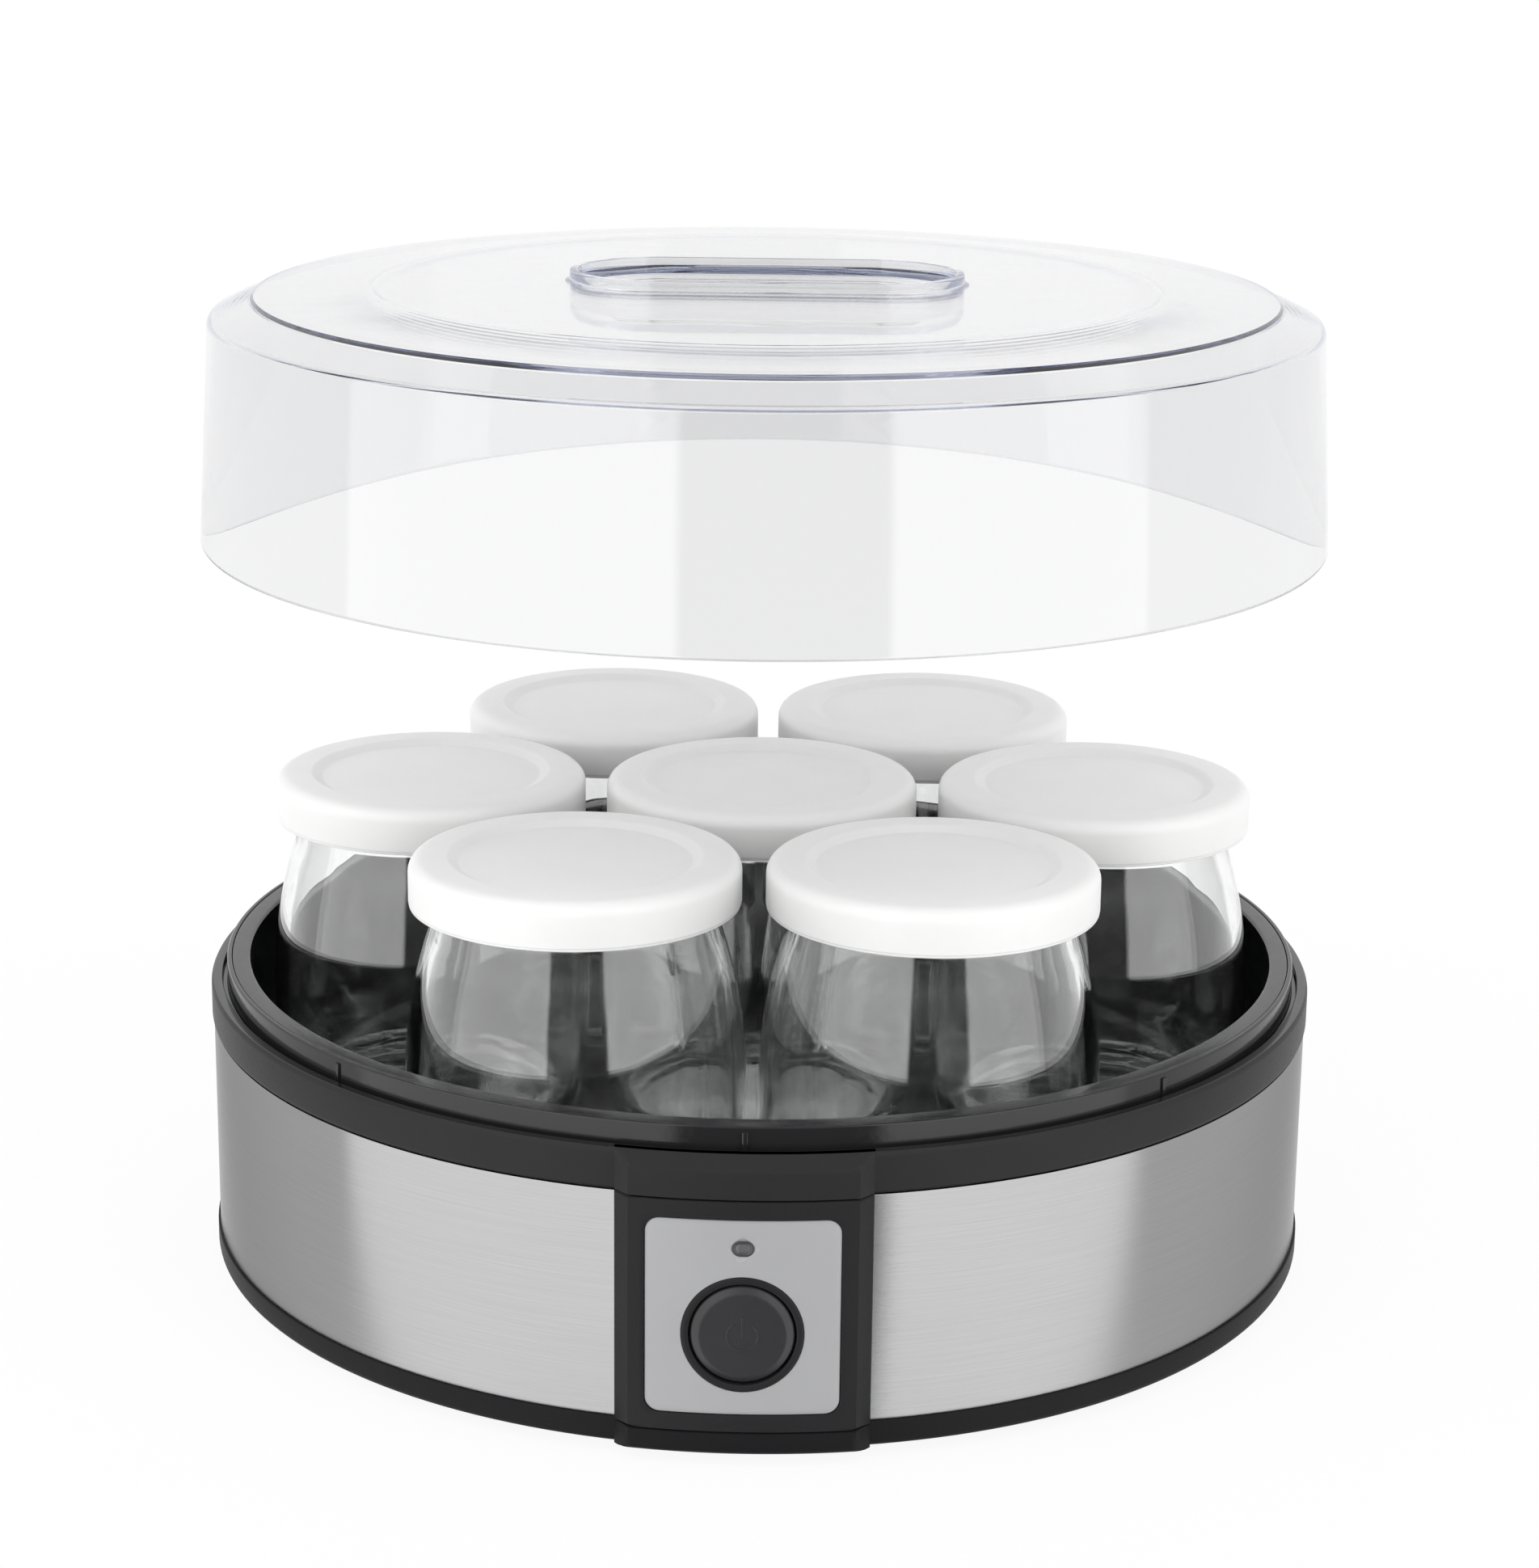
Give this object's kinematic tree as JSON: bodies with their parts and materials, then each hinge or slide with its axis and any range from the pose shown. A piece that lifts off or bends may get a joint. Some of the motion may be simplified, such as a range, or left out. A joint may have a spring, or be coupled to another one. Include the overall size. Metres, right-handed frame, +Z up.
{
  "type": "yogurt maker",
  "caption": "Round electric yogurt maker: steel-banded base with a heated pot, glass jars with white caps, a front power button, and a clear lid that lifts off by a sunk oval grip.",
  "frame": {"origin": "on the ground, under the centre of the round base", "axes": "+Z up, control panel facing -Y, long axis of the lid grip along X"},
  "size_m": [0.2418, 0.2457, 0.2166],
  "materials": {
    "black_plastic": "moulded black plastic with a fine satin grain",
    "foot_rubber": "soft black rubber",
    "screw_steel": "zinc plated steel",
    "brushed_steel": "stainless steel brushed around the band",
    "ring_plastic": "moulded charcoal plastic, satin",
    "pot_plastic": "smooth black plastic",
    "aluminium_sheet": "plain aluminium sheet",
    "heater_insulation": "cream silicone sleeve over the heating wire",
    "felt": "ceramic fibre felt",
    "zinc_sheet": "bare zinc plated sheet",
    "thermostat_body": "brown moulded body",
    "fuse_sleeve": "glass fibre sleeve",
    "terminal_plastic": "natural nylon",
    "wire_insulation": "brown wire insulation",
    "panel_plastic": "moulded charcoal plastic, fine grain",
    "silver_insert": "silver plate with a fine satin grain",
    "button_plastic": "charcoal plastic with a raised power sign",
    "spring_steel": "drawn spring steel",
    "smoked_lens": "smoked window, unlit",
    "led_epoxy": "clear epoxy, unlit",
    "board_laminate": "green circuit board laminate",
    "switch_plastic": "grey nylon",
    "clear_lid": "clear polystyrene with a faint blue edge",
    "jar_glass": "clear pressed glass",
    "white_cap": "white polyethylene, satin"
  },
  "bodies": {
    "base": {"bottom_shell": "black_plastic", "feet": "foot_rubber", "shell_screws": "screw_steel", "steel_band": "brushed_steel", "top_ring": "ring_plastic", "pot": "pot_plastic", "heat_spreader": "aluminium_sheet", "heater_wire": "heater_insulation", "insulation_pad": "felt", "heat_shield": "zinc_sheet", "shield_screws": "screw_steel", "thermostat": "thermostat_body", "thermal_fuse": "fuse_sleeve", "terminal_block": "terminal_plastic", "cord_bushing": "black_plastic", "wiring": "wire_insulation", "panel_frame": "panel_plastic", "panel_insert": "silver_insert", "button_bezel": "panel_plastic", "indicator_lens": "smoked_lens", "led": "led_epoxy", "control_board": "board_laminate", "switch_body": "switch_plastic", "board_screws": "screw_steel"},
    "lid": {"lid": "clear_lid"},
    "button": {"power_button": "button_plastic", "button_spring": "spring_steel"},
    "jar_1": {"jar_1": "jar_glass"},
    "jar_cap_1": {"jar_cap_1": "white_cap"},
    "jar_2": {"jar_2": "jar_glass"},
    "jar_cap_2": {"jar_cap_2": "white_cap"},
    "jar_3": {"jar_3": "jar_glass"},
    "jar_cap_3": {"jar_cap_3": "white_cap"},
    "jar_4": {"jar_4": "jar_glass"},
    "jar_cap_4": {"jar_cap_4": "white_cap"},
    "jar_5": {"jar_5": "jar_glass"},
    "jar_cap_5": {"jar_cap_5": "white_cap"},
    "jar_6": {"jar_6": "jar_glass"},
    "jar_cap_6": {"jar_cap_6": "white_cap"},
    "jar_7": {"jar_7": "jar_glass"},
    "jar_cap_7": {"jar_cap_7": "white_cap"}
  },
  "joints": [
    {"name": "lid_lift", "type": "slide", "parent": "base", "child": "lid", "axis": [0, 0, 1], "range_m": [-0.0967, 0.06]},
    {"name": "button_press", "type": "slide", "parent": "base", "child": "button", "axis": [0, 1, 0], "range_m": [0, 0.002], "stiffness_N_per_m": 300, "springref_m": -0.002, "deforming": ["button_spring"]},
    {"name": "jar_lift_1", "type": "slide", "parent": "base", "child": "jar_1", "axis": [0, 0, 1], "range_m": [0, 0.065]},
    {"name": "jar_cap_lift_1", "type": "slide", "parent": "jar_1", "child": "jar_cap_1", "axis": [0, 0, 1], "range_m": [0, 0.02]},
    {"name": "jar_lift_2", "type": "slide", "parent": "base", "child": "jar_2", "axis": [0, 0, 1], "range_m": [0, 0.065]},
    {"name": "jar_cap_lift_2", "type": "slide", "parent": "jar_2", "child": "jar_cap_2", "axis": [0, 0, 1], "range_m": [0, 0.02]},
    {"name": "jar_lift_3", "type": "slide", "parent": "base", "child": "jar_3", "axis": [0, 0, 1], "range_m": [0, 0.065]},
    {"name": "jar_cap_lift_3", "type": "slide", "parent": "jar_3", "child": "jar_cap_3", "axis": [0, 0, 1], "range_m": [0, 0.02]},
    {"name": "jar_lift_4", "type": "slide", "parent": "base", "child": "jar_4", "axis": [0, 0, 1], "range_m": [0, 0.065]},
    {"name": "jar_cap_lift_4", "type": "slide", "parent": "jar_4", "child": "jar_cap_4", "axis": [0, 0, 1], "range_m": [0, 0.02]},
    {"name": "jar_lift_5", "type": "slide", "parent": "base", "child": "jar_5", "axis": [0, 0, 1], "range_m": [0, 0.065]},
    {"name": "jar_cap_lift_5", "type": "slide", "parent": "jar_5", "child": "jar_cap_5", "axis": [0, 0, 1], "range_m": [0, 0.02]},
    {"name": "jar_lift_6", "type": "slide", "parent": "base", "child": "jar_6", "axis": [0, 0, 1], "range_m": [0, 0.065]},
    {"name": "jar_cap_lift_6", "type": "slide", "parent": "jar_6", "child": "jar_cap_6", "axis": [0, 0, 1], "range_m": [0, 0.02]},
    {"name": "jar_lift_7", "type": "slide", "parent": "base", "child": "jar_7", "axis": [0, 0, 1], "range_m": [0, 0.065]},
    {"name": "jar_cap_lift_7", "type": "slide", "parent": "jar_7", "child": "jar_cap_7", "axis": [0, 0, 1], "range_m": [0, 0.02]}
  ]
}
